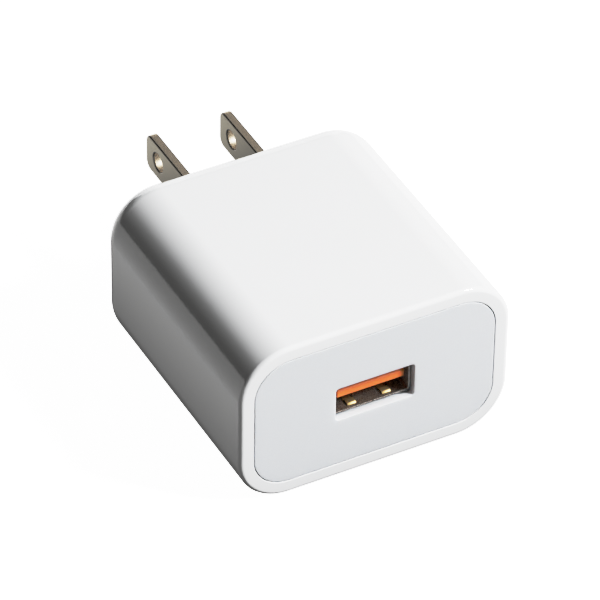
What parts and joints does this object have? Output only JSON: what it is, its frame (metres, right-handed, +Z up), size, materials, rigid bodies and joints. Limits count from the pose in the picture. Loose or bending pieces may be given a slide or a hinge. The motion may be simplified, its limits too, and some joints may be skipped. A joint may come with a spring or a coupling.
{
  "type": "usb wall charger",
  "caption": "Compact rounded wall charger with a USB-A port in its front face and flat prongs that fold into slots in its back.",
  "frame": {"origin": "on the resting face, in the middle of the width and of the whole length with the prongs open", "axes": "+Y from the port face to the tips of the open prongs, +Z up from the wide resting face, +X to the right when facing the port"},
  "size_m": [0.045, 0.0612, 0.0279],
  "materials": {
    "glossy_white_plastic": "glossy moulded polycarbonate",
    "satin_grey_plastic": "fine satin moulding",
    "moulded_white_plastic": "as moulded",
    "nickel_plated_brass": "stamped, satin nickel plating",
    "spring_steel": "rolled strip",
    "tinned_copper_alloy": "rolled strip, tinned",
    "zinc_plated_steel": "zinc plated",
    "plated_shell_steel": "stamped, nickel plated",
    "orange_insulator": "moulded thermoplastic",
    "gold_plated_bronze": "gold plated",
    "green_circuit_board": "solder mask on glass-epoxy laminate",
    "black_epoxy": "moulded package",
    "grey_ferrite": "sintered and ground",
    "black_bobbin_plastic": "moulded",
    "taped_copper_winding": "enamelled wire under polyester tape",
    "yellow_polyester_tape": "smooth film",
    "dark_blue_sleeve": "shrunk sleeve",
    "drawn_aluminium_can": "drawn",
    "blue_disc_coating": "dipped resin",
    "green_disc_coating": "dipped resin",
    "grey_resistor_coating": "cement coating",
    "tan_chip_ceramic": "fired ceramic",
    "white_polyester_sheet": "film",
    "blue_grey_silicone": "soft pad"
  },
  "bodies": {
    "charger": {"case": "glossy_white_plastic", "front_cover": "satin_grey_plastic", "prong_retainer": "moulded_white_plastic", "retainer_screw_left": "zinc_plated_steel", "retainer_screw_right": "zinc_plated_steel", "detent_spring": "spring_steel", "mains_spring_left": "tinned_copper_alloy", "mains_spring_right": "tinned_copper_alloy", "usb_shell": "plated_shell_steel", "usb_tongue": "orange_insulator", "usb_tail_1": "gold_plated_bronze", "usb_tail_2": "gold_plated_bronze", "usb_tail_3": "gold_plated_bronze", "usb_tail_4": "gold_plated_bronze", "main_board": "green_circuit_board", "insulating_sheet": "white_polyester_sheet", "thermal_pad": "blue_grey_silicone", "transformer_core_front": "grey_ferrite", "transformer_core_rear": "grey_ferrite", "transformer_bobbin": "black_bobbin_plastic", "transformer_winding": "taped_copper_winding", "transformer_tape": "yellow_polyester_tape", "bulk_capacitor_front": "dark_blue_sleeve", "bulk_capacitor_rear": "dark_blue_sleeve", "output_capacitor_left": "drawn_aluminium_can", "output_capacitor_right": "drawn_aluminium_can", "safety_capacitor": "blue_disc_coating", "inrush_thermistor": "green_disc_coating", "input_inductor": "grey_ferrite", "input_fuse": "grey_resistor_coating", "bridge_rectifier": "black_epoxy", "switching_transistor": "black_epoxy", "controller_chip": "black_epoxy", "optocoupler": "black_epoxy", "output_diode": "black_epoxy", "chip_resistor_1": "tan_chip_ceramic", "chip_resistor_2": "tan_chip_ceramic", "chip_resistor_3": "tan_chip_ceramic"},
    "prongs": {"prong_carrier": "moulded_white_plastic", "prong_left": "nickel_plated_brass", "prong_right": "nickel_plated_brass"},
    "usb_contacts": {"usb_contact_1": "gold_plated_bronze", "usb_contact_2": "gold_plated_bronze", "usb_contact_3": "gold_plated_bronze", "usb_contact_4": "gold_plated_bronze"},
    "usb_latches": {"usb_latch_left": "gold_plated_bronze", "usb_latch_right": "gold_plated_bronze"}
  },
  "joints": [
    {"name": "prong_fold", "type": "hinge", "parent": "charger", "child": "prongs", "pos_m": [0, 0.01247, 0.0207], "axis": [-1, 0, 0], "range_deg": [0, 90]},
    {"name": "usb_contact_flex", "type": "hinge", "parent": "charger", "child": "usb_contacts", "pos_m": [0, -0.01895, 0.0141], "axis": [-1, 0, 0], "range_deg": [0, 3], "stiffness_Nm_per_rad": 0.4},
    {"name": "usb_latch_flex", "type": "hinge", "parent": "charger", "child": "usb_latches", "pos_m": [0, -0.02375, 0.01109], "axis": [1, 0, 0], "range_deg": [0, 4], "stiffness_Nm_per_rad": 0.3}
  ]
}
